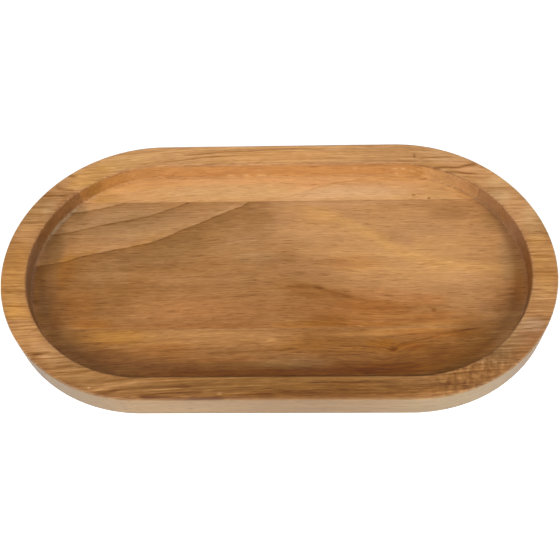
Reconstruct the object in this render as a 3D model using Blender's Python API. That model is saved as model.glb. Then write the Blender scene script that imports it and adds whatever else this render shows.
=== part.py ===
"""Wooden serving tray, in metres, +Z up.

The tray is a board with two straight sides and two half-round ends. The board is a panel of three
staves, glued edge to edge with their grain along X. Its outline is routed from the whole panel, and so
is the well, which leaves a rim and a floor. The origin is the centre of the underside.
"""

import math

import bmesh
import bpy

# Board
LENGTH = 0.330
WIDTH = 0.180
THICKNESS = 0.020
OUTER_EDGE_RADIUS = 0.001

# Staves. The centre stave takes the width that the other two leave.
BACK_STAVE_WIDTH = 0.037
FRONT_STAVE_WIDTH = 0.050
GLUE_LINE_WIDTH = 0.0003

# Well. It lies a little forward of the board's centre, so the back rim is the wider one.
RIM_WIDTH = 0.015
WELL_DEPTH = 0.012
WELL_FORWARD = 0.0014
RIM_EDGE_RADIUS = 0.001
FLOOR_COVE_RADIUS = 0.002

# How far the rough staves and the well cutter run past the surfaces that they meet
OVERRUN = 0.004

# Facets round each half-round end, and round each softened edge or cove
END_FACETS = 64
EDGE_FACETS = 4

# Wood of each stave: colour, roughness
BACK_WOOD = ((0.56, 0.29, 0.11, 1.0), 0.42)
CENTRE_WOOD = ((0.39, 0.20, 0.08, 1.0), 0.42)
FRONT_WOOD = ((0.35, 0.16, 0.055, 1.0), 0.42)


def clear_scene():
    for existing in list(bpy.data.objects):
        bpy.data.objects.remove(existing)


def wood_material(name, colour, roughness):
    material = bpy.data.materials.new(name)
    material.use_nodes = True
    material.diffuse_color = colour
    shader = material.node_tree.nodes["Principled BSDF"]
    shader.inputs["Base Color"].default_value = colour
    shader.inputs["Roughness"].default_value = roughness
    shader.inputs["Metallic"].default_value = 0.0
    return material


def arc(centre_inset, centre_z, radius, start_degrees, end_degrees):
    """(inset, height) points along an arc of an edge's section. A larger inset is nearer the middle."""
    points = []
    for step in range(EDGE_FACETS + 1):
        share = step / EDGE_FACETS
        angle = math.radians(start_degrees + (end_degrees - start_degrees) * share)
        inset = centre_inset + radius * math.cos(angle)
        height = centre_z + radius * math.sin(angle)
        points.append((inset, height))
    return points


def board_section():
    """Section of the board's outer edge, from the underside to the rim."""
    radius = OUTER_EDGE_RADIUS
    lower_edge = arc(radius, radius, radius, 270, 180)
    upper_edge = arc(radius, THICKNESS - radius, radius, 180, 90)
    return lower_edge + upper_edge


def well_section():
    """Section of the well's wall, from the floor to above the rim."""
    floor_height = THICKNESS - WELL_DEPTH
    cove_inset = RIM_WIDTH + FLOOR_COVE_RADIUS
    cove = arc(cove_inset, floor_height + FLOOR_COVE_RADIUS, FLOOR_COVE_RADIUS, 270, 180)
    edge_inset = RIM_WIDTH - RIM_EDGE_RADIUS
    rim_edge = arc(edge_inset, THICKNESS - RIM_EDGE_RADIUS, RIM_EDGE_RADIUS, 0, 90)
    mouth = (edge_inset, THICKNESS + OVERRUN)
    return cove + rim_edge + [mouth]


def outline(inset):
    """(x, y) points round the board's outline, moved in by an inset, anticlockwise seen from above."""
    end_centre_x = (LENGTH - WIDTH) / 2
    end_radius = WIDTH / 2 - inset
    points = []
    for end in (1, -1):
        for step in range(END_FACETS + 1):
            angle = math.pi * (step / END_FACETS - 0.5)
            x = end_centre_x + end_radius * math.cos(angle)
            y = end_radius * math.sin(angle)
            points.append((end * x, end * y))
    return points


def routed_solid(name, section):
    """A closed solid with the board's outline in plan and a section that steps upwards. It shapes the
    staves, and isn't part of the tray."""
    bm = bmesh.new()
    rings = []
    for inset, height in section:
        rings.append([bm.verts.new((x, y, height)) for x, y in outline(inset)])
    bm.faces.new(reversed(rings[0]))
    bm.faces.new(rings[-1])
    for lower, upper in zip(rings, rings[1:]):
        for index in range(len(lower)):
            ahead = (index + 1) % len(lower)
            side = bm.faces.new((lower[index], lower[ahead], upper[ahead], upper[index]))
            side.smooth = True
    mesh = bpy.data.meshes.new(name)
    bm.to_mesh(mesh)
    bm.free()
    solid = bpy.data.objects.new(name, mesh)
    solid.hide_render = True
    solid.display_type = "WIRE"
    bpy.context.collection.objects.link(solid)
    return solid


def rough_stave(name, front_y, back_y, wood):
    """A plain length of wood, larger than the board in length and thickness."""
    size = (LENGTH + 2 * OVERRUN, back_y - front_y, THICKNESS + 2 * OVERRUN)
    bm = bmesh.new()
    bmesh.ops.create_cube(bm, size=1)
    bmesh.ops.scale(bm, vec=size, verts=bm.verts)
    mesh = bpy.data.meshes.new(name)
    bm.to_mesh(mesh)
    bm.free()
    colour, roughness = wood
    mesh.materials.append(wood_material(name, colour, roughness))
    stave = bpy.data.objects.new(name, mesh)
    stave.location = (0, (front_y + back_y) / 2, THICKNESS / 2)
    bpy.context.collection.objects.link(stave)
    return stave


def shape(stave, operation, solid):
    modifier = stave.modifiers.new(solid.name, "BOOLEAN")
    modifier.operation = operation
    modifier.solver = "EXACT"
    modifier.object = solid


def build_tray():
    board = routed_solid("board_outline", board_section())
    well = routed_solid("well_cutter", well_section())
    well.location.y = -WELL_FORWARD

    back_joint_y = WIDTH / 2 - BACK_STAVE_WIDTH
    front_joint_y = FRONT_STAVE_WIDTH - WIDTH / 2
    half_glue = GLUE_LINE_WIDTH / 2
    outer_y = WIDTH / 2 + OVERRUN

    staves = (
        rough_stave("back_stave", back_joint_y + half_glue, outer_y, BACK_WOOD),
        rough_stave("centre_stave", front_joint_y + half_glue, back_joint_y - half_glue, CENTRE_WOOD),
        rough_stave("front_stave", -outer_y, front_joint_y - half_glue, FRONT_WOOD),
    )
    for stave in staves:
        shape(stave, "INTERSECT", board)
        shape(stave, "DIFFERENCE", well)


clear_scene()
build_tray()
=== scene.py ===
"""Looks of the wooden serving tray: the routed surface as a finished mesh, its three kinds of wood, the
glue lines between the staves, a few marks of use, and a plain pale studio round it.

The figure of the wood is laid out in millimetres on the tray, with x along the grain and y to the back.
It also holds painted shade and painted highlights in the wood's colour: by the well's walls, in the cove,
along the edges and on the outer side.
Tone runs from 0, the darkest brown, to 1, the lightest tan. Warmth is positive where the wood is golden and
negative where it is greyish. Redness is positive where it is orange or red and negative where it is olive.
"""

import math
from collections import namedtuple

import bmesh
import bpy
import numpy as np
from mathutils import Matrix, Vector

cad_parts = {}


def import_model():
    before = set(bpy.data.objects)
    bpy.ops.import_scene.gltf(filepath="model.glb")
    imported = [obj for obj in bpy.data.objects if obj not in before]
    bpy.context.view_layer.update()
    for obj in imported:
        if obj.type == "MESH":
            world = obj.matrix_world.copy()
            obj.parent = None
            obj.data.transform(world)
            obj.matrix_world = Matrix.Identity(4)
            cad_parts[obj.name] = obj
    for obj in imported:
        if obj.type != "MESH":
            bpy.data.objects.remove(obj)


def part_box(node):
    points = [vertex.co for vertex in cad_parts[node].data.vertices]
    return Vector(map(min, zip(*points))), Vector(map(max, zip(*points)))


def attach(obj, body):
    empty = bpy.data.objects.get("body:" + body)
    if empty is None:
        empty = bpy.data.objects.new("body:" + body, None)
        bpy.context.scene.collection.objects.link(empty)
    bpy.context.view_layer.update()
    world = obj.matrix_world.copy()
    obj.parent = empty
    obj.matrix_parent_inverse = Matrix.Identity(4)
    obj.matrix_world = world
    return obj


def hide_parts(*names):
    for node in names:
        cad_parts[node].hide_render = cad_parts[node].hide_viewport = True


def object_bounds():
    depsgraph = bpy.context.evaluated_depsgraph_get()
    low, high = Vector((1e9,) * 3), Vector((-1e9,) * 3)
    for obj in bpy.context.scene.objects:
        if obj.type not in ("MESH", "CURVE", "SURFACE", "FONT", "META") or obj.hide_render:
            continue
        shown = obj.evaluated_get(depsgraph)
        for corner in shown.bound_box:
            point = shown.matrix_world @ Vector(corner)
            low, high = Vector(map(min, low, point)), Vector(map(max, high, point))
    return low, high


MM = 0.001

# Routed shape, as in the solids
RIM_WIDTH = 15.0
WELL_DEPTH = 12.0
WELL_FORWARD = 1.4
OUTER_EDGE_RADIUS = 1.0
RIM_EDGE_RADIUS = 1.0
FLOOR_COVE_RADIUS = 2.0

# Spacing of the mesh's points along the outline, and across each surface
STRAIGHT_SPACING = 1.3
END_SPACING = 0.9
FLOOR_SPACING = 0.8
RIM_SPACING = 0.4
WALL_SPACING = 1.2
UNDERSIDE_SPACING = 6.0
EDGE_STEPS = 6

# Points this close merge, and edges that turn by more degrees than this stay sharp
MERGE_DISTANCE = 0.01
SHARP_ANGLE = 40

GLUE_LINE_WIDTH = 0.14

# Surfaces that the figure tells apart: the distances at which each begins and is full. Depths count from the
# top, insets from the outline, and heights from the surface below. The slack is for comparing distances.
RIM_DEPTHS = (2.0, 0.4)
FLOOR_HEIGHTS = (1.5, 0.2)
UNDERSIDE_INSETS = (0.6, 3.0)
SIDE_INSETS = (0.3, 0.05)
LOWER_EDGE_HEIGHTS = (3.0, 0.8)
UPPER_EDGE_DEPTHS = (3.0, 1.6)
SLACK = 0.1

# Soft lines along edges, where shade and highlights are painted: how far in from the outline or from the
# well's wall they lie, and half width
BROW = (0.7, 0.55)
OUTER_EDGE = (0.3, 0.5)
INNER_EDGE = (-0.2, 0.7)
COVE = (0.9, 0.9)

# Share of the figure that the underside loses
UNDERSIDE_CALM = 0.45

# The x between which the light on the front edges changes, for the lit stretch and for both ends
LIT_SPAN = (-20, 30)
LEFT_SPAN = (-85, -105)
RIGHT_SPAN = (60, 100)

# Lowest and highest z of two bands round the well's wall, and how soft they are
WALL_FOOT = (8, 11, 1)
WALL_HEAD = (15.5, 19, 1)

LINE_WARMTH = 0.2

# Area that the materials' paths run over
PATH_HALF_LENGTH = 170.0
PATH_HALF_WIDTH = 100.0

# Camera, measured in the photograph: degrees, metres and pixels
AZIMUTH = 3.4332
ELEVATION = 57.4911
ROLL = -3.3615
DISTANCE = 0.5002
FOCAL_LENGTH_PX = 811.25
CENTRE_SHIFT_PX = (-2.285, -2.52)
PHOTO_SIZE_PX = 560
SENSOR_WIDTH = 36.0

# Studio floor: half its size in metres, and its finish
FLOOR_HALF_SIZE = 12.0
FLOOR_COLOUR = (0.75, 0.75, 0.75, 1)
FLOOR_ROUGHNESS = 0.6
FLOOR_GLOW = 0.45

# Studio: the heights and the y of a direction between which its brightness changes, and both levels
WALL_TOP = (0.08, 0.25)
WALL_BRIGHTNESS = (0.75, 0.0)
ROOM_DEPTH = (0.5, -0.6)
ROOM_BRIGHTNESS = (0.05, 0.35)
LIGHT_DISTANCE = 1.2

# Colours of the wood by tone, and how full warmth and full redness change them
WOOD_COLOURS = (
    (-0.20, (0.083, 0.025, 0.0045)),
    (0.00, (0.114, 0.037, 0.0070)),
    (0.37, (0.196, 0.079, 0.0180)),
    (0.55, (0.264, 0.115, 0.0330)),
    (0.74, (0.356, 0.169, 0.0590)),
    (0.90, (0.458, 0.231, 0.0860)),
    (1.00, (0.533, 0.281, 0.1130)),
    (1.10, (0.620, 0.342, 0.1500)),
)
WARM_TINT = (0.03, -0.03, -0.38)
RED_TINT = (0.04, -0.10, -0.05)

# Layers of noise: size of their features in millimetres, detail, roughness, seed, and how much they change.
# The weight of the lines is what the rim adds to the stave's own. The step lies between two staves' seeds.
Layer = namedtuple("Layer", "size detail roughness seed weight")
BANDS = Layer((140, 6, 6), 2.0, 0.5, 0, 0.12)
LINES = Layer((70, 1.3, 2.0), 3.0, 0.6, 3, 0.30)
STREAKS = Layer((11, 0.8, 0.8), 3.0, 0.6, 5, 0.24)
FIBRES = Layer((4, 0.4, 0.4), 2.0, 0.6, 7, 0.12)
PORES = Layer((9, 0.6, 0.6), 1.0, 0.5, 9, -0.28)
FLECKS = Layer((9, 0.6, 0.6), 1.0, 0.5, 15, 0.16)
MOTTLE = Layer((7, 8, 8), 2.0, 0.5, 11, 0.04)
CURLS = Layer((2.6, 5, 5), 2.0, 0.6, 13, 0.60)
RAGGED = Layer((7, 1.2, 1.2), 2.0, 0.6, 21, 0.9)
GLUE_SPOTS = Layer((9, 3, 3), 3.0, 0.6, 2, 0.9)
SEED_STEP = 20.0

# Grain: the noise at which pores and flecks begin and are full, the contrast on dark wood, on light wood and
# on the outer side, and how far warmth varies
PORE_RANGE = (0.20, 0.50)
FLECK_RANGE = (0.25, 0.55)
DARK_CONTRAST = 1.6
LIGHT_CONTRAST = 0.8
SIDE_CONTRAST = 0.6
WARMTH_VARIATION = 0.20

# Growth fronts, in millimetres: half width of the step in tone, where the dark line begins and is full, where
# the lighter wood is full, and the softness of both ends
GROWTH_STEP = 0.25
GROWTH_LINE = (-1.6, -0.3)
GROWTH_LIGHT = 1.0
GROWTH_END = 8.0

# Oil finish: roughness of plain wood, what its features add to it, and the relief, in metres
ROUGHNESS = 0.45
STREAK_ROUGHNESS = 0.08
PORE_ROUGHNESS = 0.12
END_GRAIN_ROUGHNESS = 0.08
EDGE_ROUGHNESS = 0.30
PORE_DEPTH = 0.6
RELIEF = 0.00004
RELIEF_STRENGTH = 0.5

# Colours and roughness of the glue
GLUE_DARK = (0.13, 0.055, 0.018, 1)
GLUE_AMBER = (0.24, 0.115, 0.042, 1)
GLUE_ROUGHNESS = 0.5


# Mesh


def arc(centre_inset, centre_height, radius, start_degrees, end_degrees):
    """(inset, height) points along an arc of an edge's section."""
    points = []
    for step in range(EDGE_STEPS + 1):
        share = step / EDGE_STEPS
        angle = math.radians(start_degrees + (end_degrees - start_degrees) * share)
        points.append((centre_inset + radius * math.cos(angle), centre_height + radius * math.sin(angle)))
    return points


def spread(start, end, spacing):
    """Points between two section points, without the two themselves."""
    count = max(1, round(math.dist(start, end) / spacing))
    points = []
    for step in range(1, count):
        share = step / count
        points.append(tuple(a + (b - a) * share for a, b in zip(start, end)))
    return points


class Board:
    """The whole routed board, before it is told apart into staves. Sizes are in millimetres."""

    def __init__(self, low, high):
        self.length = (high.x - low.x) / MM
        self.width = (high.y - low.y) / MM
        self.thickness = (high.z - low.z) / MM
        self.floor_height = self.thickness - WELL_DEPTH

    def outer_section(self):
        """(inset, height) points from the middle of the underside to the rim's outer edge."""
        radius = OUTER_EDGE_RADIUS
        middle = (self.width / 2, 0)
        lower_edge = arc(radius, radius, radius, 270, 180)
        upper_edge = arc(radius, self.thickness - radius, radius, 180, 90)
        underside = [middle] + spread(middle, lower_edge[0], UNDERSIDE_SPACING)
        side = spread(lower_edge[-1], upper_edge[0], WALL_SPACING)
        return underside + lower_edge + side + upper_edge

    def well_section(self):
        """(inset, height) points from the rim's inner edge to the middle of the floor."""
        edge_inset = RIM_WIDTH - RIM_EDGE_RADIUS
        edge = arc(edge_inset, self.thickness - RIM_EDGE_RADIUS, RIM_EDGE_RADIUS, 90, 0)
        cove_inset = RIM_WIDTH + FLOOR_COVE_RADIUS
        cove = arc(cove_inset, self.floor_height + FLOOR_COVE_RADIUS, FLOOR_COVE_RADIUS, 180, 270)
        middle = (self.width / 2, self.floor_height)
        wall = spread(edge[-1], cove[0], WALL_SPACING)
        floor = spread(cove[-1], middle, FLOOR_SPACING) + [middle]
        return edge + wall + cove + floor

    def ring(self, inset, height, forward):
        """Points round the outline at one inset and height, anticlockwise seen from above."""
        centre_x = (self.length - self.width) / 2
        radius = self.width / 2 - inset
        end_steps = round(math.pi * self.width / 2 / END_SPACING)
        straight_steps = round(2 * centre_x / STRAIGHT_SPACING)
        points = []
        for end in (1, -1):
            for step in range(end_steps + 1):
                angle = math.pi * (step / end_steps - 0.5)
                x = end * (centre_x + radius * math.cos(angle))
                points.append(Vector((x, end * radius * math.sin(angle) - forward, height)))
            for step in range(1, straight_steps):
                x = end * centre_x * (1 - 2 * step / straight_steps)
                points.append(Vector((x, end * radius - forward, height)))
        return points

    def rings(self):
        """The rings of the whole surface. Across the rim they move from the outline to the well's line."""
        outer = self.outer_section()
        well = self.well_section()
        rim = spread(outer[-1], well[0], RIM_SPACING)
        rings = [self.ring(inset, height, 0) for inset, height in outer]
        for number, (inset, height) in enumerate(rim, 1):
            forward = WELL_FORWARD * number / (len(rim) + 1)
            rings.append(self.ring(inset, height, forward))
        rings += [self.ring(inset, height, WELL_FORWARD) for inset, height in well]
        return rings

    def surface(self):
        """The closed surface as a bmesh, in metres."""
        bm = bmesh.new()
        rings = [[bm.verts.new(point * MM) for point in ring] for ring in self.rings()]
        for lower, upper in zip(rings, rings[1:]):
            for index in range(len(lower)):
                ahead = (index + 1) % len(lower)
                bm.faces.new((lower[index], lower[ahead], upper[ahead], upper[index]))
        bmesh.ops.remove_doubles(bm, verts=bm.verts, dist=MERGE_DISTANCE * MM)
        return bm


def cut_off(bm, y, side):
    """Cuts the board across at y, in metres, drops what lies on that side, and closes the cut."""
    geometry = bm.verts[:] + bm.edges[:] + bm.faces[:]
    bmesh.ops.bisect_plane(bm, geom=geometry, plane_co=(0, y, 0), plane_no=(0, side, 0), clear_outer=True)
    open_edges = [edge for edge in bm.edges if edge.is_boundary]
    bmesh.ops.holes_fill(bm, edges=open_edges)


def new_object(name, data):
    made = bpy.data.objects.new(name, data)
    bpy.context.scene.collection.objects.link(made)
    return made


def mesh_from(bm, name, material):
    mesh = bpy.data.meshes.new(name)
    bm.to_mesh(mesh)
    bm.free()
    mesh.materials.append(material)
    return mesh


def slice_of_board(name, board, front_y, back_y, material):
    """The part of the board between two y, or to its edge where a y is None."""
    bm = board.surface()
    if front_y is not None:
        cut_off(bm, front_y * MM, -1)
    if back_y is not None:
        cut_off(bm, back_y * MM, 1)
    mesh = mesh_from(bm, name, material)
    mesh.shade_smooth()
    mesh.set_sharp_from_angle(angle=math.radians(SHARP_ANGLE))
    piece = new_object(name, mesh)
    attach(piece, "root")
    return piece


# Figure of the wood


def curve(x, path):
    """Height y at x of the smooth curve through a path of (x, y) points."""
    xs, ys = np.array(path, dtype=float).T
    slopes = np.gradient(ys, xs)
    index = np.clip(np.searchsorted(xs, x) - 1, 0, len(xs) - 2)
    step = xs[index + 1] - xs[index]
    share = np.clip((x - xs[index]) / step, 0, 1)
    start_weight = (1 + 2 * share) * (1 - share) ** 2
    end_weight = share**2 * (3 - 2 * share)
    start_slope = share * (1 - share) ** 2 * step
    end_slope = share**2 * (share - 1) * step
    level = ys[index] * start_weight + ys[index + 1] * end_weight
    return level + slopes[index] * start_slope + slopes[index + 1] * end_slope


def fade(value, start, end):
    """Smooth rise from 0 at start to 1 at end. It falls where end is below start."""
    share = np.clip((value - start) / (end - start), 0, 1)
    return share**2 * (3 - 2 * share)


def window(value, low, high, soft):
    """1 between low and high, and 0 further out, with soft ends."""
    return fade(value, low - soft, low + soft) * fade(value, high + soft, high - soft)


def ridge(value, place, half_width):
    """1 at one place, and falling to 0 on both sides of it."""
    return np.exp(-(((value - place) / half_width) ** 2))


class Figure:
    """Tone, warmth, redness and curl at every point of a mesh, built up from streaks and patches."""

    def __init__(self, mesh, board, tone):
        points = np.empty(len(mesh.vertices) * 3)
        mesh.vertices.foreach_get("co", points)
        self.mesh = mesh
        self.plain_tone = tone
        self.x, self.y, self.z = points.reshape(-1, 3).T / MM
        self.tone = np.full(len(self.x), tone)
        self.warmth = np.zeros(len(self.x))
        self.redness = np.zeros(len(self.x))
        self.curl = np.zeros(len(self.x))
        self.find_surfaces(board)

    def find_surfaces(self, board):
        """How far each point belongs to each surface and edge of the board, from 0 to 1."""
        beyond = np.maximum(np.abs(self.x) - (board.length - board.width) / 2, 0)
        reach = np.hypot(beyond, self.y)
        well_reach = np.hypot(beyond, self.y + WELL_FORWARD)
        inset = board.width / 2 - reach
        well_inset = board.width / 2 - well_reach - RIM_WIDTH
        depth = board.thickness - self.z
        in_well = well_inset > -RIM_EDGE_RADIUS - SLACK
        low = fade(self.z - board.floor_height, *FLOOR_HEIGHTS)

        outward_y = (self.y + WELL_FORWARD) / np.maximum(well_reach, 1)
        self.back = np.clip(outward_y, 0, 1)
        self.front = np.clip(-outward_y, 0, 1)
        self.underside = fade(inset, *UNDERSIDE_INSETS) * (self.z < OUTER_EDGE_RADIUS / 2)
        self.rim = fade(depth, *RIM_DEPTHS)
        self.floor = in_well * low * (self.z > board.floor_height / 2)
        self.wall = in_well * (1 - self.rim) * (1 - low)
        self.side = fade(inset, *SIDE_INSETS)
        self.lower_edge = self.side * fade(self.z, *LOWER_EDGE_HEIGHTS)
        self.upper_edge = self.side * fade(depth, *UPPER_EDGE_DEPTHS)
        self.brow = ridge(inset, *BROW) * self.rim
        self.outer_edge = ridge(inset, *OUTER_EDGE) * (depth < OUTER_EDGE_RADIUS + SLACK)
        self.inner_edge = ridge(well_inset, *INNER_EDGE) * self.rim
        self.cove = ridge(well_inset, *COVE) * (self.z < board.floor_height + FLOOR_COVE_RADIUS)
        lengthwise = beyond / np.maximum(reach, 1)
        self.end_grain = np.clip(self.wall + self.side, 0, 1) * lengthwise**2

    def add(self, share, tone, warmth=0.0, redness=0.0, curl=0.0):
        """Adds to the figure, at each point by its share."""
        self.tone += tone * share
        self.warmth += warmth * share
        self.redness += redness * share
        self.curl += curl * share

    def streak(self, path, half_width, tone, warmth=0.0, redness=0.0, soft=3, on=1.0):
        """A line along the grain, which thins out at its ends, on some of the surfaces."""
        share = ridge(self.y, curve(self.x, path), half_width) * window(self.x, path[0][0], path[-1][0], soft)
        self.add(share * on, tone, warmth, redness)

    def lines(self, rows, redness, soft, on):
        """Thin lines and nicks, each a path, a half width and a tone."""
        for path, half_width, tone in rows:
            self.streak(path, half_width, tone, LINE_WARMTH, redness, soft, on)

    def patch(self, x, y, half_length, half_width, tone, warmth=0.0, redness=0.0, turn=0, curl=0.0, on=1.0):
        """A soft-edged oval, turned anticlockwise by some degrees, on some of the surfaces."""
        angle = math.radians(turn)
        along = (self.x - x) * math.cos(angle) + (self.y - y) * math.sin(angle)
        across = (self.y - y) * math.cos(angle) - (self.x - x) * math.sin(angle)
        share = np.exp(-(((along / half_length) ** 2 + (across / half_width) ** 2) ** 2))
        self.add(share * on, tone, warmth, redness, curl)

    def patches(self, rows, on=1.0):
        for row in rows:
            self.patch(*row, on=on)

    def calm_underside(self):
        """Makes the figure fainter on the underside, and leaves its curl out."""
        left = 1 - UNDERSIDE_CALM * self.underside
        self.tone = self.plain_tone + (self.tone - self.plain_tone) * left
        self.warmth *= left
        self.redness *= left
        self.curl *= 1 - self.underside

    def shade_edges(self):
        """Painted shade and painted highlights that follow the board's edges and not the wood, with the end
        grain's darker tone and some wear.
        """
        right = fade(self.x, *RIGHT_SPAN)
        # End grain takes more oil and is darker; on the end walls and the side's ends this darkening is also
        # painted shade
        self.add(self.end_grain, -0.36)
        # Painted shade on the rim's inner edge, strongest at the back, where it hides the edge's lit line
        self.add(self.inner_edge, -0.05)
        self.add(self.inner_edge * self.back, -0.22)
        # Painted highlights on the front part of the rim's inner edge
        self.add(self.inner_edge * self.front * fade(self.x, *LIT_SPAN), 0.24)
        self.add(self.inner_edge * self.front * fade(self.x, *LEFT_SPAN), 0.12, -0.15, 0.3)
        # Painted shade in the cove, most at the back, where it hides the cove's lit line
        self.add(self.cove, -0.10)
        self.add(self.cove * self.back, -0.15, 0.6)
        # A greyer tint on the outer side, strongest in front: partly the wood's own colour and partly a
        # painted reflection of the pale floor
        self.add(self.side * np.clip(0.4 + 0.9 * self.front, 0, 1), 0.01, -0.6, -1.6)
        # Painted shadow along the side's lower edge
        self.add(self.lower_edge, -0.14, -1.1, -0.6)
        # Painted shade on the outer edge at the back; elsewhere a lighter, greyer outer edge, partly painted
        # sheen and partly wear
        self.add(self.outer_edge * self.back**8, -0.30, -0.4)
        self.add(self.outer_edge * (1 - self.front), 0.03, -0.7, -0.9)
        # A painted highlight along the top of the front side, and painted shade just inside the front's outer
        # edge, where the rounding is lit
        self.add(self.upper_edge * self.front, 0.02 + 0.06 * right, 0.5, 0.3)
        self.add(self.brow * self.front, -0.16 + 0.10 * right)

    def keep(self, name, values):
        """Writes values to the mesh, where the material reads them by name."""
        attribute = self.mesh.attributes.new(name, "FLOAT", "POINT")
        attribute.data.foreach_set("value", np.asarray(values, dtype=np.float32))

    def finish(self):
        """Adds what is alike on all staves, and writes the figure to the mesh."""
        self.calm_underside()
        self.shade_edges()
        for name in ("tone", "warmth", "redness", "curl", "rim", "floor", "side", "end_grain"):
            self.keep(name, getattr(self, name))
        self.keep("edge", np.clip(self.inner_edge + self.outer_edge + self.cove, 0, 1))


# A growth front of the floor: its path and the x of its ends, how the tone changes in front of it (below) and
# behind it (above) and how far, the dark line, the change that stays far below, and the tint below
Growth = namedtuple(
    "Growth",
    "path low high below fade_below above fade_above line far_below warmth redness",
    defaults=(0.0, 0.0, 0.0),
)

# Tables of lines hold path, half width and tone. Tables of patches hold x, y, half length, half width, tone,
# warmth, redness, turn and curl, and the last four may be left out. Fields run over all surfaces of a stave,
# and other tables name theirs.

BACK_GROWTH = (
    Growth(
        path=(
            (-170, 30), (-40, 48), (-10, 54), (5, 57), (15, 60),
            (25, 64.5), (33, 67), (45, 69.5), (170, 71),
        ),
        low=-12,
        high=60,
        below=-0.03,
        fade_below=12,
        above=0.02,
        fade_above=6,
        line=-0.05,
    ),
)

CENTRE_GROWTH = (
    Growth(
        path=((-170, 45), (-128, 46), (-118, 48), (-110, 50), (-100, 53), (-80, 60), (170, 60)),
        low=-160,
        high=-84,
        below=-0.05,
        fade_below=6,
        above=0.17,
        fade_above=40,
        line=-0.14,
    ),
    Growth(
        path=(
            (-170, 24), (-142, 28.5), (-130, 30.5), (-120, 33.5), (-110, 36), (-90, 40.5),
            (-80, 43.2), (-70, 47.5), (-58, 53), (-40, 60), (170, 60),
        ),
        low=-170,
        high=-44,
        below=-0.09,
        fade_below=8,
        above=0.06,
        fade_above=10,
        line=-0.20,
    ),
    Growth(
        path=(
            (-170, 2), (-140, 6), (-130, 8.5), (-120, 12), (-110, 14.5), (-90, 19), (-80, 21.5), (-70, 26),
            (-60, 31.5), (-50, 36), (-40, 41.5), (-30, 46.5), (-24, 49), (-19, 53), (-10, 60), (170, 60),
        ),
        low=-175,
        high=-6,
        below=-0.18,
        fade_below=60,
        above=0.11,
        fade_above=17,
        line=-0.16,
        far_below=-0.10,
        warmth=0.25,
    ),
)

FRONT_GROWTH = (
    Growth(
        path=(
            (-170, -50), (38.6, -51.3), (54, -52), (63, -53.2), (66, -54.2), (71, -50.6),
            (78, -48.8), (89, -46), (100, -43), (120, -40), (170, -36),
        ),
        low=36,
        high=118,
        below=-0.02,
        fade_below=8,
        above=0.0,
        fade_above=4,
        line=-0.22,
        warmth=0.3,
        redness=0.2,
    ),
)


# Dark lines and nicks of the back rim
BACK_LINES = (
    (((-142, 58), (-139.5, 57.5)), 1.2, -0.25),
    (((-141, 56), (-136, 55.2), (-130, 54.2)), 0.8, -0.35),
    (((-138.5, 66.5), (-135, 66.2), (-130, 65.4)), 0.9, -0.45),
    (((-134, 60.1), (-129, 59.9)), 0.6, -0.25),
    (((-126, 70), (-112, 72.5)), 0.6, -0.15),
    (((-112, 77.5), (-96, 79.5)), 0.6, -0.15),
    (((-88, 75), (-60, 78.5), (-50, 80.3), (-33, 81.3)), 0.5, -0.22),
    (((-62, 82.3), (-35, 84.5), (-20, 85.2), (0, 86.3), (30, 86)), 0.45, -0.28),
    (((-60, 80), (-20, 82), (10, 82.5)), 0.4, -0.12),
    (((-48, 74.2), (-33, 76)), 0.6, -0.18),
    (((20, 83), (60, 83.4), (85, 82.8)), 0.4, -0.12),
    (((76, 75.1), (89, 74.8)), 0.5, -0.28),
    (((91, 71.2), (98, 69.2), (107, 69.5), (114, 69), (119, 70.5), (127, 72)), 0.9, -0.4),
    (((91, 77.2), (99, 78), (112, 78.5)), 0.6, -0.28),
    (((106, 66.5), (114, 65.8), (119, 64.6), (126, 63.8)), 0.9, -0.28),
    (((118, 61.5), (134, 60.5)), 0.6, -0.14),
)

# Fields of the back stave, and three dark spots
BACK_FIELDS = (
    (-114, 57, 11, 6, -0.1, 0.4, -0.35),
    (-85, 69, 26, 6, -0.04, 0.2),
    (-30, 62, 50, 6, 0.03, -0.2, -0.4),
    (15, 55, 18, 3, 0.06, -0.2),
    (45, 60, 40, 6, 0.06, -0.5, -0.3),
    (85, 71, 35, 2.5, -0.05, 0.4),
    (87, 57, 1.3, 1.0, -0.28, 0.2),
    (88, 79.5, 0.8, 2.2, -0.3),
    (96.5, 54.2, 1.0, 0.8, -0.55),
    (105, 62, 12, 8, -0.08, 0.05, -0.3),
    (120, 57, 7, 5, -0.1, 0.3, 0, -40),
)

BACK_FLOOR = (
    (-103, 65, 12, 4, 0, 0.2),
    (-10, 60, 110, 12, 0.04, 0.12, 0.06),
    (15, 63, 16, 3.5, 0, 0.3, 0.4, 12),
)

BACK_RIM = (
    (-140, 58, 8, 4, -0.15, -0.2, 0, 30),
    (-120, 66, 16, 7, 0.02, 0.6, -0.1, 30),
    (-100, 77, 18, 6, 0.06, 0.1, -0.3, 10),
    (-86, 75.5, 14, 2.5, 0.07, 0.1),
    (-48, 79, 18, 4, -0.05),
    (0, 80, 45, 6, 0.04, 0.35, 0.25),
    (75, 81, 35, 7, -0.04),
    (110, 76, 20, 6, 0.07, -0.2, -0.2, -25),
    (117, 69, 13, 6, 0, 0, 0.5, -30),
    (125, 67, 14, 9, -0.05, 0, 0, -35),
    (138, 57, 7, 5, 0.06, -0.2, -0.4),
)

BACK_WALL = (
    (-116, 62, 23, 10, -0.1, 0.8, 0.2, 40),
    (0, 73, 110, 4, -0.05, 0.5, 0.3),
    (96, 68, 5, 4, 0.14, -0.3),
    (110, 62, 12, 10, 0.1),
    (124, 57, 12, 12, 0.13, -0.2, 0.1),
)

# Painted on the cove: a pale highlight at the left of the back, and painted shade at its right
BACK_COVE_LIGHT_AND_SHADE = (
    (-118, 56, 18, 5, 0.1, -0.5),
    (122, 57, 12, 14, -0.1),
)

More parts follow.
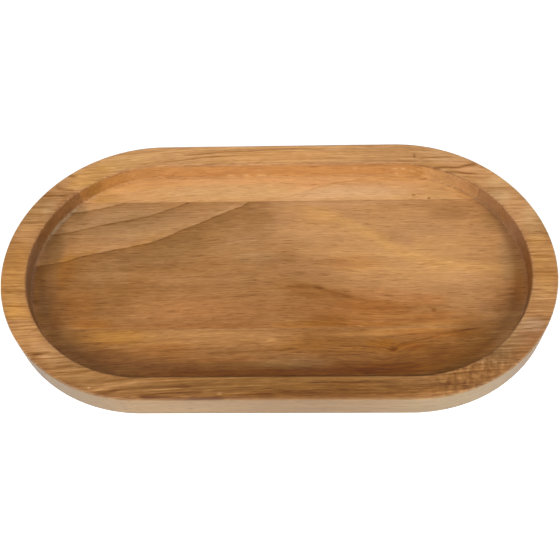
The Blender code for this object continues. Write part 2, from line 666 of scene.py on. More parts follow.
# Small chips in the back wall, which show lighter wood: x, z and half length
BACK_WALL_CHIPS = (
    (-31, 9.4, 2.5),
    (-21, 9.6, 2.0),
    (-11, 9.4, 3.0),
    (50, 15.2, 1.2),
    (75.5, 14.2, 2.2),
    (77, 9.6, 1.2),
    (81, 14.4, 1.8),
    (86.5, 13.0, 3.0),
    (91, 15.2, 2.5),
)
BACK_WALL_Y = 73.6
CHIP_HALF_HEIGHT = 0.8
CHIP_SOFTNESS = 0.6


def mark_back_stave(figure):
    """The light stave. Its rim has dark lines, and its wall small chips and a shaded foot on the left."""
    figure.lines(BACK_LINES, redness=0, soft=2, on=figure.rim)
    figure.patches(BACK_FIELDS)
    figure.patches(BACK_FLOOR, on=figure.floor)
    figure.patches(BACK_RIM, on=figure.rim)
    figure.patches(BACK_WALL, on=figure.wall)
    figure.patches(BACK_COVE_LIGHT_AND_SHADE, on=figure.cove)
    figure.patch(-62, 73, 27, 3, -0.08, on=figure.cove + figure.wall * window(figure.z, *WALL_FOOT))
    for x, z, half_length in BACK_WALL_CHIPS:
        height = window(figure.z, z - CHIP_HALF_HEIGHT, z + CHIP_HALF_HEIGHT, CHIP_SOFTNESS)
        figure.patch(x, BACK_WALL_Y, half_length, 2, 0.18, -0.6, -0.6, on=figure.wall * height)


# Dark lines of the centre stave's rim and floor
CENTRE_LINES = (
    (((-165, 14.2), (-155, 14.3)), 0.7, -0.18),
    (((-162, 28.8), (-144, 29.5)), 0.7, -0.26),
    (((-160, -21), (-144, -21.2)), 0.7, -0.24),
    (((-158, 50), (-135, 50.1)), 0.7, -0.24),
    (((-157, -31), (-144, -31)), 0.7, -0.26),
    (((-157, 35.1), (-141, 35.3)), 0.7, -0.2),
    (((-156, 41), (-142, 41.2)), 0.7, -0.24),
    (((-12, -14), (0, -13), (10, -12)), 0.9, -0.1),
    (((6, -11.5), (16, -11.6), (26, -12.2)), 1.1, -0.26),
    (((24, -13), (32, -15.4), (44, -19)), 1.1, -0.22),
    (((40, -18.6), (54, -22.2), (68, -23.5)), 1.4, -0.14),
    (((48, -31), (60, -31), (78, -29.5)), 0.8, -0.12),
    (((50, -27.5), (70, -27), (84, -26)), 0.7, -0.1),
    (((146, -22), (158, -24)), 0.7, -0.2),
    (((148, -10.4), (162, -10.6)), 0.7, -0.22),
    (((149, 11.9), (165, 11.6)), 0.7, -0.16),
    (((149, 18.3), (165, 18)), 0.7, -0.16),
    (((149, 22.8), (165, 22.5)), 0.7, -0.24),
    (((151, 0.8), (164, 0.7)), 0.7, -0.22),
    (((155, 27.3), (165, 26.4)), 0.7, -0.22),
)

# Fields of the centre stave, and two small spots
CENTRE_FIELDS = (
    (-152, -30, 8, 10, 0.1),
    (-105, -36, 14, 3, 0.03, 0.3),
    (-105, -24, 22, 11, -0.1),
    (-60, -28, 40, 8, 0.08, 0.1),
    (-23, 16, 22, 10, 0.14, -0.05, 0, 6),
    (18, 45, 22, 9, 0.13, 0.1),
    (22, 2, 23, 9, -0.05, -0.15),
    (30, -35, 14, 4, -0.12, 0.3),
    (30, 35, 20, 9, 0.02, 0.2),
    (40, -10, 26, 8, -0.06, 0, 0, -14),
    (60, -30, 40, 9, -0.02, 0.4, 0.5),
    (74, 16, 60, 36, 0.22, 0.1),
    (92, -28.5, 1.6, 1.2, -0.25, 0.2, 0.4),
    (92, 31, 18, 8, -0.05, -0.2),
    (108, 42, 12, 6, -0.12, -0.1),
    (117, -38.4, 17, 2.4, -0.16, 0.2),
    (129, -42.8, 0.9, 0.8, 0.5, -0.8),
    (148, 36, 11, 18, 0.2, -0.1),
)

# Floor patches at the left end. The dark ones by the left wall, from x about -124 outwards, are painted
# shade; the others are the wood's figure.
CENTRE_FLOOR_LEFT = (
    (-140, 20, 7, 22, -0.12, -0.7, -0.5),
    (-139, 14, 5, 14, -0.14),
    (-138, -17, 6, 14, -0.08, -0.8, -0.1),
    (-134, -42, 7, 9, 0, 0, 0.15, -40),
    (-131, 32, 7, 24, -0.07, -0.3, -0.2, -12),
    (-130, -36, 7, 4, -0.1, 0, 0.2, -40),
    (-130, -22, 8, 13, -0.15, 0.2, 0.1, 20),
    (-130, 3, 6, 15, -0.04, 0.6, 0.2),
    (-128, 46, 6, 5, -0.2, -0.5, -0.5, 35),
    (-124, -34, 8, 3, -0.08, 0.2),
    (-117, -24, 9, 10, 0, 0.5, 0.45, 30),
    (-114, -40, 8, 2, 0.08, 0.2, -0.2),
    (-112, 40, 16, 4, 0.06, 0, 0, 12),
    (-110, -36.5, 13, 4, -0.03, 0.6, 0.4),
    (-105, -2, 16, 9, 0.04, -0.4, -0.3),
    (-100, 38, 36, 16, 0, -0.5, -0.5),
    (-92, -6, 18, 3.5, -0.03, 0.3, 0.1),
)

CENTRE_FLOOR_MIDDLE = (
    (-90, -14, 13, 4, -0.07, 0.1),
    (-85, -5, 38, 5, 0.11, -0.1),
    (-82, 10, 34, 8, 0.02, -0.5, -0.3),
    (-82, 23.5, 15, 3, 0, 0.4, 0, 25),
    (-68, 28.5, 14, 3, -0.06, 0, 0, 25),
    (-64, 20, 14, 6, 0, -0.2, -0.4),
    (-62, 44, 15, 6, 0, -0.2, -0.08, 20),
    (-60, 5, 60, 45, 0.025),
    (-58, -6, 16, 4, 0.07),
    (-45, -29, 45, 13, 0, 0.2, 0.5),
    (-45, 6, 18, 9, 0.07, 0.15),
    (-40, 25, 8, 5, 0.12, 0.25, 0.2),
    (-30, 32, 38, 18, 0, -0.4, -0.25, 15),
    (-30, 46, 7, 3, 0.09),
    (-22, -3, 18, 6, 0.09, 0, -0.05),
    (-22, 33, 16, 12, 0.12, 0, 0, 20),
    (-12, 9, 14, 5, 0.05, -0.3, -0.3),
    (-11, 50, 11, 6, 0.09, -0.2),
    (-6, 32, 7, 3, -0.08),
    (2, 9, 10, 8, -0.06, -0.1),
    (10, 29, 22, 9, 0.12),
    (12, 39, 28, 10, 0.02, 0.2, 0.1),
    (14, -37, 20, 3, 0, 0.5, 0.1),
    (17, -14, 21, 6, -0.12, 0.4, 0.2, -14),
    (22, -26, 29, 11.5, -0.14, 0.2, 0.3),
    (25, 38, 32, 14, 0, -0.3, 0.05),
)

# Floor patches of the right half. The dark ones by the right wall, from x about 125 outwards, are painted
# shade, with a warm tint in it at (144, -13); the others are the wood's figure.
CENTRE_FLOOR_RIGHT = (
    (42, 51.5, 45, 3, 0.1, -0.3),
    (45, 5, 20, 6, -0.06, 0.4, 0.3),
    (50, 47, 13, 4, 0.08),
    (55, -36, 30, 4, 0, 0.4, 0.2),
    (56, -25, 22, 5, -0.04, 0.4, 0.4, -6),
    (62, -17, 34, 4, 0, 0.25, 0.45, -3),
    (68, -4, 14, 6, -0.05),
    (68, 25, 8, 4, -0.08),
    (70, -29, 24, 8, -0.06, 0.1),
    (76, 25, 9, 4.5, -0.06, -0.3, 0.1, -35),
    (90, -22, 12, 4, -0.05, 0.3, 0.5),
    (98, -34, 20, 5, -0.08, 0.5, 0.4, 4),
    (113, -7, 15, 10, 0.06, -0.1),
    (120, -37, 15, 8, -0.14),
    (122, -33, 20, 4, 0, -0.3, -0.15),
    (125, -28, 9, 6, -0.1, -0.3, 0, -30),
    (134, 35, 8, 6, -0.11, -0.2, -0.35, -45),
    (135, -23, 10, 8, -0.2, -0.15, 0.2, 35),
    (139, 4, 5, 18, -0.06, -0.45, -0.45),
    (143, 26, 4, 12, -0.12, -0.2, 0, 12),
    (144, -13, 6, 12, 0, 0.75, 0.6),
)

CENTRE_RIM = (
    (-157, -10, 10, 26, 0.06, 0.7),
    (-155, 4, 8, 8, 0, 0.2),
    (-154, 19, 9, 6, 0.15, -0.1),
    (-152, 36, 12, 12, 0.11, -0.4, -0.4),
    (-151, 30, 8, 12, 0, 0.35, 0.08),
    (-149, -40, 9, 13, 0.08, 0.9, 0.05),
    (-148, -37, 6, 5, 0.1),
    (-147, 44, 9, 7, 0.01, 0, -0.1),
    (-142, 43, 4, 10, 0.09, -0.3, -0.2, -25),
    (137, 46, 8, 6, 0.19, -0.4, -0.5),
    (153, -22, 8, 7, 0.12, 0, -0.2),
    (155.5, 13, 6, 4, 0.12, 0.4),
    (156, -10, 8, 15, 0.03, 0.35),
    (157, 26, 8, 13, 0.1, -0.4, -0.5),
    (158, 4, 8, 26, 0.04, 0.2),
)

CENTRE_WALL = (
    (-150, -4, 8, 26, 0.05, -1.9, -0.3),
    (133, 48, 13, 12, 0.2, -0.5),
    (147, 19, 10, 14, 0.08, -1.1, 0.1),
    (150, -5, 8, 16, 0.09, 0.7, 0.5),
)

# Painted on the cove: shade at the lower left and along the right end, and a pale highlight at the back of
# the left end
CENTRE_COVE_LIGHT_AND_SHADE = (
    (-147, -4, 8, 20, -0.14, -1.2),
    (-138, 37, 12, 17, 0.18, -1.8, -0.9),
    (145, 12, 16, 60, -0.1),
)


def streak_centre_stave(figure):
    """The lines of the rim and floor, and the wider bands of the floor."""
    floor = figure.floor
    figure.lines(CENTRE_LINES, redness=0.1, soft=3, on=figure.rim + floor)
    golden_band = ((15, 47), (40, 37), (55, 28), (73, 14), (100, 5), (125, 1), (150, 1))
    figure.streak(golden_band, 4.5, 0.07, 0.35, -0.1, soft=12, on=floor)
    figure.streak(((-148, 6), (-140, 7.5), (-130, 10), (-120, 13.4), (-112, 15.8)), 1.6, -0.09, 0.5, on=floor)
    figure.streak(((-70, 20), (-10, 23), (50, 21)), 3.5, 0.035, soft=10, on=floor)
    figure.streak(((-118, -39), (0, -39), (70, -38.6)), 2.2, 0.0, 0.3, 0.4, soft=8, on=floor)
    light_band = ((84, -38.6), (96, -37.2), (108, -35), (123, -32.5), (136, -31.5))
    figure.streak(light_band, 1.6, 0.10, 0.4, soft=8)
    figure.streak(((0, -38.4), (40, -38.4), (80, -38.2)), 1.3, -0.09, 0.3, soft=8)


def mark_centre_stave(figure):
    """The brown stave: greyish at its left end, golden in its right half, and reddish along its front. Its
    floor has painted shade by both end walls, and its cove painted shade and a painted highlight.
    """
    floor, wall = figure.floor, figure.wall
    streak_centre_stave(figure)
    figure.patches(CENTRE_FIELDS)
    figure.patches(CENTRE_FLOOR_LEFT + CENTRE_FLOOR_MIDDLE + CENTRE_FLOOR_RIGHT, on=floor)
    figure.patches(CENTRE_RIM, on=figure.rim)
    figure.patches(CENTRE_WALL, on=wall)
    figure.patches(CENTRE_COVE_LIGHT_AND_SHADE, on=figure.cove)
    figure.patch(-148, -14, 8, 24, 0.14, on=wall * window(figure.z, *WALL_HEAD))
    figure.patch(145, -27, 7, 8, 0.06, -0.8, on=wall + figure.cove)
    figure.patch(131, 51, 7, 5, 0.10, on=figure.inner_edge)


# Lines of the front stave's rim and floor, most of them dark
FRONT_LINES = (
    (((-136, -62.3), (-131, -61.8), (-126.5, -61.1)), 0.7, -0.5),
    (((-122, -70.5), (-112, -69.6)), 0.5, -0.2),
    (((-116, -75), (-103, -73.4)), 0.6, -0.24),
    (((-110, -49.5), (-80, -48.6), (-50, -47)), 0.5, -0.14),
    (((-99, -87), (-96, -86.5), (-91, -85.8), (-86, -84.6)), 0.9, -0.38),
    (((-99, -84.4), (-89, -82.2), (-76, -79.8)), 0.8, 0.2),
    (((-95, -80), (-85, -77.9), (-70, -76)), 0.6, -0.2),
    (((-88, -84.5), (-76, -83.2), (-65, -82.8), (-46, -82.4)), 0.6, -0.26),
    (((-74, -88), (-59, -86.3), (-40, -85.6)), 0.6, -0.24),
    (((-72, -68.4), (-30, -67.6), (4, -67.2)), 1.3, -0.1),
    (((-70, -84.6), (-56, -84.2), (-44, -84)), 0.6, 0.12),
    (((-60, -51), (-30, -49.6), (-5, -47.6)), 0.5, -0.14),
    (((-40, -56), (-10, -55), (10, -53.6)), 0.5, -0.16),
    (((-33, -88), (-14, -87.3), (-3, -87)), 0.6, -0.28),
    (((-16, -60), (0, -62), (12, -63.4), (30, -64.4)), 1.5, 0.11),
    (((-10, -86.8), (8, -86.2), (24, -86.6)), 1.3, -0.16),
    (((12, -82.2), (35, -82.6), (56, -82)), 1.4, 0.13),
    (((20, -80), (40, -80.4), (60, -80)), 0.7, -0.14),
    (((20, -55.5), (45, -55.6), (58, -56.8)), 0.7, -0.16),
    (((25, -57.9), (49, -58.1), (56, -59.5), (62, -60.6), (67, -59.2), (76, -57.5)), 0.7, -0.22),
    (((60, -83.6), (75, -84), (90, -82.9), (102, -82)), 0.8, -0.24),
    (((60, -56.8), (66, -57.6), (73, -55.2), (84, -53.5)), 0.7, -0.14),
)

# Fields of the front stave, its knot, and a few small nicks. The dark fields along the front of the floor, by
# the front wall, are partly the wood's darker front and partly painted shade.
FRONT_FIELDS = (
    (-146, -48, 12, 16, 0.26, 0.2),
    (-130, -58, 12, 6, 0.14, 0, 0, -50),
    (-129.5, -63.8, 3.5, 0.9, 0.05, -0.4, 0.2),
    (-115, -74, 22, 7, 0.04, 0.1, 0, -25),
    (-101.5, -83, 0.9, 0.8, 0.35, -0.6),
    (-100, -57, 15, 4, -0.14),
    (-55, -46, 62, 6, 0.2, 0.4),
    (-29.8, -86.8, 1.2, 1.0, 0.3, -0.6),
    (0, -64, 110, 6, -0.18, 0.4, 0.4),
    (0, -48, 14, 5, 0.08),
    (10, -83, 75, 7, -0.15, 0.3),
    (20, -86, 60, 5, -0.13, 0.3),
    (50, -52, 52, 5, -0.13, 0.6, 0.1),
    (60, -50, 9, 3.5, 0.06, 0.8, 0.4),
    (67, -54, 2.4, 1.6, -0.45, 0.3, 0.5),
    (75, -42, 35, 2.5, 0.19, 0.3, 0, 4),
    (78, -52, 8, 3, 0.02, 0.3, 0.6),
    (95, -57, 26, 8, -0.18, 0.5, 0.1),
)

# Floor patches of the front's left half. The dark ones towards the front wall and the left end are painted
# shade, and the lighter one at (-98, -67.5) by the rim is painted light in it; the others are the wood's
# figure.
FRONT_FLOOR_LEFT = (
    (-116, -46, 8, 6, -0.11, 0, 0, -45),
    (-114, -48, 9, 7, 0, -0.15, -0.13, -40),
    (-112, -59, 24, 6, -0.05, -0.3, 0.2, -28),
    (-105, -51, 12, 5, -0.08, 0, 0, -30),
    (-98, -67.5, 18, 4, 0.16, 0, 0, -12),
    (-98, -57, 13, 4, -0.1),
    (-97, -45, 22, 8, 0, 0.8),
    (-80, -62, 26, 5.5, -0.19, -0.3),
    (-66, -54, 20, 5, -0.04, 0.6, 0.45),
    (-62, -50, 32, 3, 0.07),
    (-35, -65.5, 65, 3.5, -0.08, -0.4, -0.6),
    (-25, -42, 40, 5, 0.07),
)

# Floor patches of the front's right half. The dark and reddened ones along the front wall, from y about -58
# to -70, are painted shade; the others are the wood's figure.
FRONT_FLOOR_RIGHT = (
    (0, -70, 105, 2.8, 0, 0.6, 0.7),
    (0, -67, 110, 3.5, -0.04, 0.3, 0.2),
    (8, -62, 24, 4, 0.09, -0.7, -0.5),
    (14, -53, 14, 4, -0.03, 0.4, 0.1),
    (18, -64, 12, 3.5, -0.02, -0.7),
    (25, -46, 22, 5, -0.02, 0.5, 0.2),
    (35, -63.5, 75, 3, 0, 0, -0.35),
    (50, -65, 45, 3, -0.07),
    (54, -43, 14, 3, 0, 0.4, 0.2),
    (65, -66, 30, 4, -0.13, 1, 0.2),
    (66, -52, 7, 4, 0, 0.4),
    (76, -55.5, 10, 3, 0.09),
    (80, -60, 28, 6, 0, 0.2),
    (84, -61, 24, 5, -0.12, 0.3),
    (88, -44, 24, 4, -0.06, 0.8, 0.6),
    (100, -58, 14, 4, -0.13, 0.3),
    (112, -44, 12, 5, -0.14, 0.2),
    (114, -48, 12, 8, -0.16, 0.4, -0.35),
    (118, -54, 9, 5, 0, 0.25, 0.5, 30),
)

FRONT_RIM = (
    (-132, -60, 8, 5, 0.12, 0, 0, -45),
    (-115, -68, 18, 8, 0.08, -0.3, -0.5, -30),
    (-105, -79, 9, 3, -0.08),
    (-84, -86, 16, 3, -0.1),
    (-60, -76, 12, 5, 0, 0.2, 0.45),
    (-32, -85, 20, 2.5, 0, -0.22),
    (-30, -74, 110, 4, 0, 0.4),
    (-10, -80, 110, 8, 0.02, -0.1, -0.5),
    (38, -78, 13, 8, -0.05, 0.3),
    (64, -85, 9, 2, -0.08),
    (70, -80, 48, 4, -0.1, -0.1),
    (95, -77.6, 12, 1.2, 0.12, 0.2),
    (108, -74, 25, 9, -0.12, 0.1, 0, 28, 0.9),
    (119, -66, 12, 6, -0.04, -0.75, -0.45),
    (128, -56, 13, 7, 0.02, -0.7, -0.7, 45),
    (142, -50, 12, 6, 0, -0.7, 0.2, 50),
    (144, -45, 9, 5, 0.2, -0.7, -0.7),
)

# Painted on the outer side: shade at its left end, and a lighter, greyer painted reflection on its right
FRONT_SIDE_LIGHT_AND_SHADE = (
    (-132, -60, 12, 12, -0.16, -0.4),
    (-105, -74, 40, 16, -0.14, -0.6, -0.4),
    (100, -78, 40, 25, 0.05, -0.9, -0.5),
)


def mark_front_stave(figure):
    """The streaked stave: dark along its rim and the front of its floor, with a knot and curly figure. The
    floor's dark front is partly painted shade of the front wall, its right foot has a painted pool of light,
    and its outer side painted shade and a painted reflection.
    """
    floor, rim = figure.floor, figure.rim
    figure.lines(FRONT_LINES, redness=0.1, soft=2, on=rim + floor)
    figure.streak(((-72, -88.8), (-52, -89.5), (-28, -89.2)), 1.1, -0.50, on=rim)
    # Painted shade along the foot of the front wall
    figure.streak(((-60, -67.8), (0, -67.8), (100, -68)), 2.6, -0.13, 0.2, on=floor)
    # A painted pool of light along the foot of the front wall's right end
    painted_light_foot = ((78, -68.5), (90, -67), (105, -63.4), (120, -56), (130, -48), (140, -37))
    figure.streak(painted_light_foot, 4.5, 0.22, soft=6)
    figure.patches(FRONT_FIELDS)
    figure.patches(FRONT_FLOOR_LEFT + FRONT_FLOOR_RIGHT, on=floor)
    figure.patches(FRONT_RIM, on=rim)
    figure.patches(FRONT_SIDE_LIGHT_AND_SHADE, on=figure.side)


# Grain of each stave: the path of one line of it
BACK_GRAIN = ((-170, -9), (-100, -4), (-60, 0), (0, 3), (40, 3), (100, 1), (170, -4))
CENTRE_GRAIN = ((-170, -1), (-60, 0), (0, 2.5), (20, 2), (60, -0.5), (100, 0), (170, 1))
FRONT_GRAIN = ((-170, -9), (-100, -4), (-60, -1.5), (0, 1), (25, 1.5), (45, 1), (85, 2), (120, 5), (170, 7))

# A place where the grain dips round a knot, by so many millimetres
Knot = namedtuple("Knot", "x y half_length half_width dip")
FRONT_KNOTS = (Knot(66, -55, 9, 7, 3.5),)

# The staves, from back to front. The tone is that of the plain wood.
Stave = namedtuple("Stave", "node slot tone grain knots fronts line_weight add_marks")
STAVES = (
    Stave("back_stave", "back_wood", 0.93, BACK_GRAIN, (), BACK_GROWTH, 0.12, mark_back_stave),
    Stave("centre_stave", "centre_wood", 0.67, CENTRE_GRAIN, (), CENTRE_GROWTH, 0.12, mark_centre_stave),
    Stave("front_stave", "front_wood", 0.52, FRONT_GRAIN, FRONT_KNOTS, FRONT_GROWTH, 0.22, mark_front_stave),
)


# Materials


class Nodes:
    """Short ways to add nodes to a node tree."""

    def __init__(self, tree):
        self.tree = tree

    def add(self, kind, values=(), **settings):
        """A new node. Values are given to its sockets by name, as numbers or as other nodes' sockets."""
        node = self.tree.nodes.new("ShaderNode" + kind)
        for setting, value in settings.items():
            setattr(node, setting, value)
        for socket, value in dict(values).items():
            self.put(node.inputs[socket], value)
        return node

    def put(self, socket, value):
        if isinstance(value, bpy.types.NodeSocket):
            self.tree.links.new(value, socket)
        else:
            socket.default_value = value

    def math(self, operation, first, second=0.0, third=0.0):
        return self.add("Math", {0: first, 1: second, 2: third}, operation=operation).outputs[0]

    def vector_math(self, operation, first, second, third=(0, 0, 0)):
        return self.add("VectorMath", {0: first, 1: second, 2: third}, operation=operation).outputs[0]

    def product(self, *factors):
        total = factors[0]
        for factor in factors[1:]:
            total = self.math("MULTIPLY", total, factor)
        return total

    def sum(self, start, *terms):
        """Start, plus each term, which is a value and its weight."""
        total = start
        for value, weight in terms:
            total = self.math("MULTIPLY_ADD", value, weight, total)
        return total

    def attribute(self, name):
        return self.add("Attribute", attribute_name=name).outputs["Fac"]

    def ramp(self, value, low, high, start=0.0, end=1.0):
        """Smooth change from start, where the value is at low, to end, where it is at high."""
        sockets = {"Value": value, "From Min": low, "From Max": high, "To Min": start, "To Max": end}
        return self.add("MapRange", sockets, interpolation_type="SMOOTHSTEP").outputs[0]

    def place(self):
        """The place on the tray, in millimetres."""
        position = self.add("TexCoord").outputs["Object"]
        return self.vector_math("MULTIPLY", position, (1 / MM,) * 3)

    def path(self, x, points):
        """Height y at x of the smooth curve through (x, y) points, which run from end to end of the area."""
        sockets = {"Value": x, "From Min": -PATH_HALF_LENGTH, "From Max": PATH_HALF_LENGTH}
        share = self.add("MapRange", sockets).outputs[0]
        line = self.add("FloatCurve", {"Factor": 1.0, "Value": share})
        length, width = 2 * PATH_HALF_LENGTH, 2 * PATH_HALF_WIDTH
        levels = [(0.5 + px / length, 0.5 + py / width) for px, py in points]
        bends = line.mapping.curves[0].points
        bends[0].location = levels[0]
        bends[-1].location = levels[-1]
        for level in levels[1:-1]:
            bends.new(*level)
        line.mapping.update()
        return self.sum(-PATH_HALF_WIDTH, (line.outputs[0], width))

    def noise(self, place, layer, seed=0.0):
        """A layer of noise about 0."""
        scale = tuple(1 / length for length in layer.size)
        scaled = self.vector_math("MULTIPLY_ADD", place, scale, (layer.seed + seed,) * 3)
        sockets = {"Vector": scaled, "Scale": 1.0, "Detail": layer.detail, "Roughness": layer.roughness}
        noise = self.add("TexNoise", sockets).outputs[0]
        return self.sum(-1.0, (noise, 2.0))

    def mix(self, factor, first, second):
        """A mix of two colours, which are sockets 6 and 7 of the node."""
        return self.add("Mix", {0: factor, 6: first, 7: second}, data_type="RGBA").outputs[2]


class Material(Nodes):
    """A material with the usual shader."""

    def __init__(self, name):
        self.material = bpy.data.materials.new(name)
        self.material.use_nodes = True
        super().__init__(self.material.node_tree)

    def shade(self, values):
        """Sets the shader's sockets."""
        for socket, value in values.items():
            self.put(self.tree.nodes["Principled BSDF"].inputs[socket], value)


class Wood(Material):
    """Oiled wood with its grain along x."""

    def __init__(self, stave, seed):
        super().__init__(stave.slot)
        self.seed = seed
        place = self.place()
        self.x, self.y, z = self.add("SeparateXYZ", {0: place}).outputs
        across = self.math("SUBTRACT", self.y, self.path(self.x, stave.grain))
        for knot in stave.knots:
            across = self.bend_round(across, knot)
        self.grain = self.add("CombineXYZ", {0: self.x, 1: across, 2: z}).outputs[0]
        self.tone = self.attribute("tone")
        self.warmth = self.attribute("warmth")
        self.redness = self.attribute("redness")
        self.add_fronts(stave.fronts)
        self.add_grain(stave.line_weight)
        self.add_colour()
        self.add_surface()

    def bend_round(self, across, knot):
        """Lets the grain dip where it passes a knot."""
        along = self.math("DIVIDE", self.math("SUBTRACT", self.x, knot.x), knot.half_length)
        beside = self.math("DIVIDE", self.math("SUBTRACT", self.y, knot.y), knot.half_width)
        distance = self.sum(self.product(beside, beside), (along, along))
        near = self.math("EXPONENT", self.product(distance, -1.0))
        return self.sum(across, (near, knot.dip))

    def add_fronts(self, fronts):
        """Growth fronts, which show on the floor and have ragged lines."""
        floor = self.attribute("floor")
        ragged = self.noise(self.grain, RAGGED, self.seed)
        for front in fronts:
            distance = self.math("SUBTRACT", self.y, self.path(self.x, front.path))
            distance = self.sum(distance, (ragged, RAGGED.weight))
            start = self.ramp(self.x, front.low - GROWTH_END, front.low + GROWTH_END)
            end = self.ramp(self.x, front.high + GROWTH_END, front.high - GROWTH_END)
            self.add_front(front, distance, self.product(floor, start, end))

    def add_front(self, front, distance, share):
        """One front: a dark line, with the wood darker below it and lighter above it."""
        above = self.ramp(distance, -GROWTH_STEP, GROWTH_STEP)
        below = self.math("SUBTRACT", 1.0, above)
        near = self.ramp(distance, -front.fade_below, 0.0)
        darker = self.sum(front.far_below, (near, front.below - front.far_below))
        lighter = self.product(above, self.ramp(distance, front.fade_above, GROWTH_LIGHT))
        line = self.product(below, self.ramp(distance, *GROWTH_LINE))
        change = self.sum(self.product(below, darker), (lighter, front.above), (line, front.line))
        tinted = self.product(below, near, share)
        self.tone = self.sum(self.tone, (change, share))
        self.warmth = self.sum(self.warmth, (tinted, front.warmth))
        self.redness = self.sum(self.redness, (tinted, front.redness))

    def add_grain(self, line_weight):
        """Bands, lines, streaks and fibres along the grain, short pores and flecks, and a soft mottle."""
        layers = (BANDS, LINES, STREAKS, FIBRES, PORES, FLECKS, MOTTLE, CURLS)
        noises = (self.noise(self.grain, layer, self.seed) for layer in layers)
        bands, lines, self.streaks, self.fibres, pores, flecks, mottle, curls = noises
        self.pore = self.ramp(pores, *PORE_RANGE)
        change = self.sum(
            0.0,
            (bands, BANDS.weight),
            (lines, self.sum(line_weight, (self.attribute("rim"), LINES.weight))),
            (self.streaks, STREAKS.weight),
            (self.fibres, FIBRES.weight),
            (mottle, MOTTLE.weight),
            (self.pore, PORES.weight),
            (self.ramp(flecks, *FLECK_RANGE), FLECKS.weight),
            (self.product(curls, self.attribute("curl")), CURLS.weight),
        )
        contrast = self.sum(DARK_CONTRAST, (self.tone, LIGHT_CONTRAST - DARK_CONTRAST))
        on_side = self.sum(1.0, (self.attribute("side"), SIDE_CONTRAST - 1))
        self.tone = self.sum(self.tone, (change, self.product(contrast, on_side)))
        self.warmth = self.sum(self.warmth, (bands, WARMTH_VARIATION), (mottle, WARMTH_VARIATION))

    def add_colour(self):
        darkest, lightest = WOOD_COLOURS[0][0], WOOD_COLOURS[-1][0]
        place = self.add("MapRange", {"Value": self.tone, "From Min": darkest, "From Max": lightest})
        colours = self.add("ValToRGB", {0: place.outputs[0]})
        elements = colours.color_ramp.elements
        elements[0].color = (*WOOD_COLOURS[0][1], 1)
        elements[1].color = (*WOOD_COLOURS[-1][1], 1)
        for level, colour in WOOD_COLOURS[1:-1]:
            elements.new((level - darkest) / (lightest - darkest)).color = (*colour, 1)
        tint = self.vector_math("MULTIPLY_ADD", self.warmth, WARM_TINT, (1, 1, 1))
        tint = self.vector_math("MULTIPLY_ADD", self.redness, RED_TINT, tint)
        self.shade({"Base Color": self.vector_math("MULTIPLY", colours.outputs[0], tint)})

    def add_surface(self):
        """A satin oil finish. It is duller on end grain, in open pores and on edges, where it is worn."""
        roughness = self.sum(
            ROUGHNESS,
            (self.streaks, STREAK_ROUGHNESS),
            (self.pore, PORE_ROUGHNESS),
            (self.attribute("end_grain"), END_GRAIN_ROUGHNESS),
            (self.attribute("edge"), EDGE_ROUGHNESS),
        )
        height = self.sum(self.fibres, (self.pore, -PORE_DEPTH))
        bump = self.add("Bump", {"Height": height, "Distance": RELIEF, "Strength": RELIEF_STRENGTH})
        self.shade({"Roughness": roughness, "Normal": bump.outputs[0]})


def glue_material():
    """Cured glue, darkened by dust and oil."""
    glue = Material("glue")
    spots = glue.sum(0.5, (glue.noise(glue.place(), GLUE_SPOTS), GLUE_SPOTS.weight))
    glue.shade({"Base Color": glue.mix(spots, GLUE_DARK, GLUE_AMBER), "Roughness": GLUE_ROUGHNESS})
    return glue.material


# Studio


def direction(azimuth, elevation):
    """The way from the tray at two angles in degrees. Azimuth 0 is in front and 90 on the right."""
    a, e = math.radians(azimuth), math.radians(elevation)
    return Vector((math.sin(a) * math.cos(e), -math.cos(a) * math.cos(e), math.sin(e)))


def add_camera():
    back = direction(AZIMUTH, ELEVATION)
    right = direction(AZIMUTH + 90, 0)
    up = back.cross(right)
    roll = math.radians(ROLL)
    rolled_right = math.cos(roll) * right + math.sin(roll) * up
    rolled_up = -math.sin(roll) * right + math.cos(roll) * up
    camera = new_object("camera", bpy.data.cameras.new("camera"))
    axes = Matrix((rolled_right, rolled_up, back)).transposed().to_4x4()
    camera.matrix_world = Matrix.Translation(back * DISTANCE) @ axes
    camera.data.sensor_width = SENSOR_WIDTH
    camera.data.lens = FOCAL_LENGTH_PX / PHOTO_SIZE_PX * SENSOR_WIDTH
    camera.data.shift_x = -CENTRE_SHIFT_PX[0] / PHOTO_SIZE_PX
    camera.data.shift_y = CENTRE_SHIFT_PX[1] / PHOTO_SIZE_PX
    bpy.context.scene.camera = camera


def add_floor():
    """A white surface that is lit a little from below, as a light table is."""
    white = Material("white_floor")
    white.shade({"Base Color": FLOOR_COLOUR, "Roughness": FLOOR_ROUGHNESS})
    white.shade({"Emission Color": (1, 1, 1, 1), "Emission Strength": FLOOR_GLOW})
    bm = bmesh.new()
    bmesh.ops.create_grid(bm, x_segments=1, y_segments=1, size=FLOOR_HALF_SIZE)
    floor = new_object("floor", mesh_from(bm, "floor", white.material))


def add_softbox(name, azimuth, elevation, size, power):
    """A square area light that faces the tray."""
    light = bpy.data.lights.new(name, "AREA")
    light.size = size
    light.energy = power
    softbox = new_object(name, light)
    back = direction(azimuth, elevation)
    softbox.location = back * LIGHT_DISTANCE
    softbox.rotation_euler = back.to_track_quat("Z", "Y").to_euler()


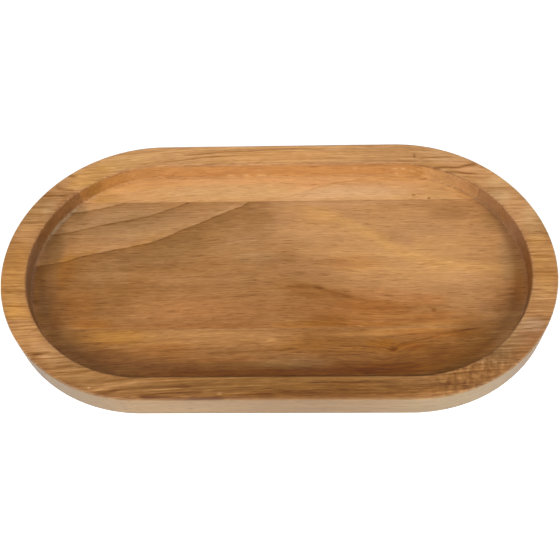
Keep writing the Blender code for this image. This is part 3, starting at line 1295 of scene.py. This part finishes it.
def light_studio():
    """A grey studio with pale walls, brighter in front, where three soft lights stand round the tray."""
    world = bpy.data.worlds.new("studio")
    world.use_nodes = True
    nodes = Nodes(world.node_tree)
    coordinates = nodes.add("TexCoord").outputs["Generated"]
    parts = nodes.add("SeparateXYZ", {0: coordinates}).outputs
    room = nodes.ramp(parts["Y"], *ROOM_DEPTH, *ROOM_BRIGHTNESS)
    wall = nodes.ramp(parts["Z"], *WALL_TOP, *WALL_BRIGHTNESS)
    background = world.node_tree.nodes["Background"]
    nodes.put(background.inputs["Color"], nodes.math("MAXIMUM", room, wall))
    bpy.context.scene.world = world
    add_softbox("left_light", azimuth=-50, elevation=40, size=0.42, power=11.5)
    add_softbox("right_light", azimuth=55, elevation=41, size=0.42, power=11.5)
    add_softbox("high_light", azimuth=0, elevation=65, size=0.6, power=2)


# Tray


def add_stave(board, stave, material, front_y, back_y):
    piece = slice_of_board("finished_" + stave.node, board, front_y, back_y, material)
    figure = Figure(piece.data, board, stave.tone)
    stave.add_marks(figure)
    figure.finish()
    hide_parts(stave.node)


def add_tray(board):
    """The staves, which meet the glue at the joints of the solids, and the two glue lines."""
    back_joint = (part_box("back_stave")[0].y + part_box("centre_stave")[1].y) / 2 / MM
    front_joint = (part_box("front_stave")[1].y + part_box("centre_stave")[0].y) / 2 / MM
    half_glue = GLUE_LINE_WIDTH / 2
    edges = (
        (back_joint + half_glue, None),
        (front_joint + half_glue, back_joint - half_glue),
        (None, front_joint - half_glue),
    )
    for number, (stave, (front_y, back_y)) in enumerate(zip(STAVES, edges)):
        add_stave(board, stave, Wood(stave, SEED_STEP * number).material, front_y, back_y)
    glue = glue_material()
    for name, joint in (("glue_line_back", back_joint), ("glue_line_front", front_joint)):
        slice_of_board(name, board, joint - half_glue, joint + half_glue, glue)


def main():
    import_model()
    cad_low, cad_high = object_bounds()
    bpy.context.scene.view_settings.view_transform = "Standard"
    add_camera()
    add_floor()
    light_studio()
    add_tray(Board(cad_low, cad_high))


main()
